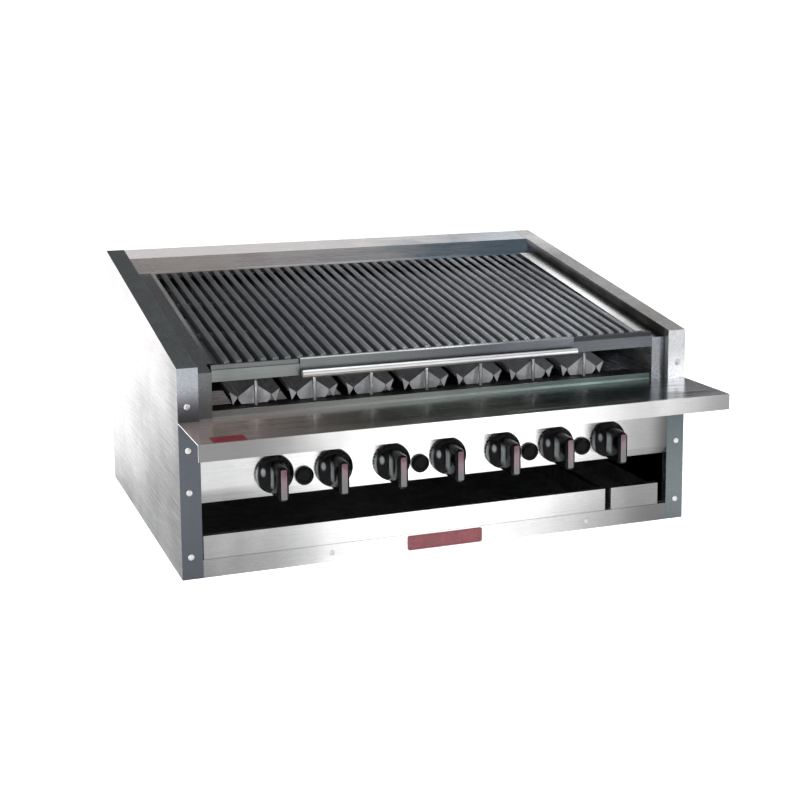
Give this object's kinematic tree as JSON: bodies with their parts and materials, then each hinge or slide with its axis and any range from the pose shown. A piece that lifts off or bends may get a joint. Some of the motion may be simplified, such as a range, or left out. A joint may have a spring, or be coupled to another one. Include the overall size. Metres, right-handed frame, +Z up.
{
  "type": "charbroiler grill",
  "caption": "Countertop gas charbroiler: sloped cast grates over radiants and burners, front work shelf, row of knobs, pull-out drip pans.",
  "frame": {"origin": "centre of the footprint, including the front shelf, on the surface that the appliance stands on", "axes": "+X along the width, to the right seen from the front; +Y to the back; +Z up"},
  "size_m": [0.914, 0.8, 0.457],
  "materials": {
    "casing_steel": "brushed stainless, satin",
    "panel_steel": "brushed stainless, bright",
    "shelf_steel": "brushed stainless, worn bright",
    "riser_steel": "stainless, a little heat stained",
    "liner_steel": "stainless, heat stained",
    "firebox_steel": "sooty sheet steel",
    "rail_steel": "brushed stainless",
    "trough_steel": "polished stainless",
    "badge_red": "plain red enamel",
    "gas_pipe": "black iron pipe",
    "pilot_tube": "drawn tube",
    "pan_steel": "bright stainless",
    "runner_steel": "plain sheet steel",
    "burner_iron": "cast, heat dulled",
    "radiant_steel": "stainless, heat greyed",
    "brass": "machined brass",
    "knob_plastic": "gloss black",
    "grate_iron": "seasoned cast iron",
    "plug_plastic": "black plastic"
  },
  "bodies": {
    "cabinet": {"left_side_casing": "casing_steel", "right_side_casing": "casing_steel", "back_panel": "casing_steel", "bottom_panel": "casing_steel", "base_rail": "panel_steel", "control_panel": "panel_steel", "front_shelf": "shelf_steel", "rear_riser": "riser_steel", "left_liner": "liner_steel", "right_liner": "liner_steel", "firebox_front_wall": "firebox_steel", "rear_burner_support": "firebox_steel", "front_grate_rail": "rail_steel", "badge_plate": "badge_red", "gas_manifold": "gas_pipe", "pilot_rail": "pilot_tube", "pan_runner_left": "runner_steel", "pan_runner_middle": "runner_steel", "pan_runner_right": "runner_steel", "burner_1": "burner_iron", "radiant_1": "radiant_steel", "valve_1": "brass", "burner_2": "burner_iron", "radiant_2": "radiant_steel", "valve_2": "brass", "burner_3": "burner_iron", "radiant_3": "radiant_steel", "valve_3": "brass", "burner_4": "burner_iron", "radiant_4": "radiant_steel", "valve_4": "brass", "burner_5": "burner_iron", "radiant_5": "radiant_steel", "valve_5": "brass", "burner_6": "burner_iron", "radiant_6": "radiant_steel", "valve_6": "brass", "burner_7": "burner_iron", "radiant_7": "radiant_steel", "valve_7": "brass"},
    "knob_1": {"knob_1": "knob_plastic"},
    "knob_2": {"knob_2": "knob_plastic"},
    "knob_3": {"knob_3": "knob_plastic"},
    "knob_4": {"knob_4": "knob_plastic"},
    "knob_5": {"knob_5": "knob_plastic"},
    "knob_6": {"knob_6": "knob_plastic"},
    "knob_7": {"knob_7": "knob_plastic"},
    "grate_1": {"grate_1": "grate_iron"},
    "grate_2": {"grate_2": "grate_iron"},
    "grate_3": {"grate_3": "grate_iron"},
    "grate_4": {"grate_4": "grate_iron"},
    "grate_5": {"grate_5": "grate_iron"},
    "grate_6": {"grate_6": "grate_iron"},
    "pilot_plug_1": {"pilot_plug_1": "plug_plastic"},
    "pilot_plug_2": {"pilot_plug_2": "plug_plastic"},
    "pilot_plug_3": {"pilot_plug_3": "plug_plastic"},
    "pilot_plug_4": {"pilot_plug_4": "plug_plastic"},
    "grease_trough": {"grease_trough": "trough_steel"},
    "drip_pan": {"drip_pan": "pan_steel"},
    "grease_box": {"grease_box": "pan_steel"}
  },
  "joints": [
    {"name": "knob_1_turn", "type": "hinge", "parent": "cabinet", "child": "knob_1", "pos_m": [-0.303, -0.255, 0.161], "axis": [0, -1, 0], "range_deg": [0, 90]},
    {"name": "knob_2_turn", "type": "hinge", "parent": "cabinet", "child": "knob_2", "pos_m": [-0.202, -0.255, 0.161], "axis": [0, -1, 0], "range_deg": [0, 90]},
    {"name": "knob_3_turn", "type": "hinge", "parent": "cabinet", "child": "knob_3", "pos_m": [-0.101, -0.255, 0.161], "axis": [0, -1, 0], "range_deg": [0, 90]},
    {"name": "knob_4_turn", "type": "hinge", "parent": "cabinet", "child": "knob_4", "pos_m": [0, -0.255, 0.161], "axis": [0, -1, 0], "range_deg": [0, 90]},
    {"name": "knob_5_turn", "type": "hinge", "parent": "cabinet", "child": "knob_5", "pos_m": [0.101, -0.255, 0.161], "axis": [0, -1, 0], "range_deg": [0, 90]},
    {"name": "knob_6_turn", "type": "hinge", "parent": "cabinet", "child": "knob_6", "pos_m": [0.202, -0.255, 0.161], "axis": [0, -1, 0], "range_deg": [0, 90]},
    {"name": "knob_7_turn", "type": "hinge", "parent": "cabinet", "child": "knob_7", "pos_m": [0.303, -0.255, 0.161], "axis": [0, -1, 0], "range_deg": [0, 90]},
    {"name": "grate_1_lift", "type": "slide", "parent": "cabinet", "child": "grate_1", "axis": [0, 0, 1], "range_m": [0, 0.15]},
    {"name": "grate_2_lift", "type": "slide", "parent": "cabinet", "child": "grate_2", "axis": [0, 0, 1], "range_m": [0, 0.15]},
    {"name": "grate_3_lift", "type": "slide", "parent": "cabinet", "child": "grate_3", "axis": [0, 0, 1], "range_m": [0, 0.15]},
    {"name": "grate_4_lift", "type": "slide", "parent": "cabinet", "child": "grate_4", "axis": [0, 0, 1], "range_m": [0, 0.15]},
    {"name": "grate_5_lift", "type": "slide", "parent": "cabinet", "child": "grate_5", "axis": [0, 0, 1], "range_m": [0, 0.15]},
    {"name": "grate_6_lift", "type": "slide", "parent": "cabinet", "child": "grate_6", "axis": [0, 0, 1], "range_m": [0, 0.15]},
    {"name": "pilot_plug_1_pull", "type": "slide", "parent": "cabinet", "child": "pilot_plug_1", "axis": [0, -1, 0], "range_m": [0, 0.02]},
    {"name": "pilot_plug_2_pull", "type": "slide", "parent": "cabinet", "child": "pilot_plug_2", "axis": [0, -1, 0], "range_m": [0, 0.02]},
    {"name": "pilot_plug_3_pull", "type": "slide", "parent": "cabinet", "child": "pilot_plug_3", "axis": [0, -1, 0], "range_m": [0, 0.02]},
    {"name": "pilot_plug_4_pull", "type": "slide", "parent": "cabinet", "child": "pilot_plug_4", "axis": [0, -1, 0], "range_m": [0, 0.02]},
    {"name": "grease_trough_lift", "type": "slide", "parent": "cabinet", "child": "grease_trough", "axis": [0, 0, 1], "range_m": [0, 0.08]},
    {"name": "drip_pan_slide", "type": "slide", "parent": "cabinet", "child": "drip_pan", "axis": [0, -1, 0], "range_m": [0, 0.45]},
    {"name": "grease_box_slide", "type": "slide", "parent": "cabinet", "child": "grease_box", "axis": [0, -1, 0], "range_m": [0, 0.32]}
  ]
}
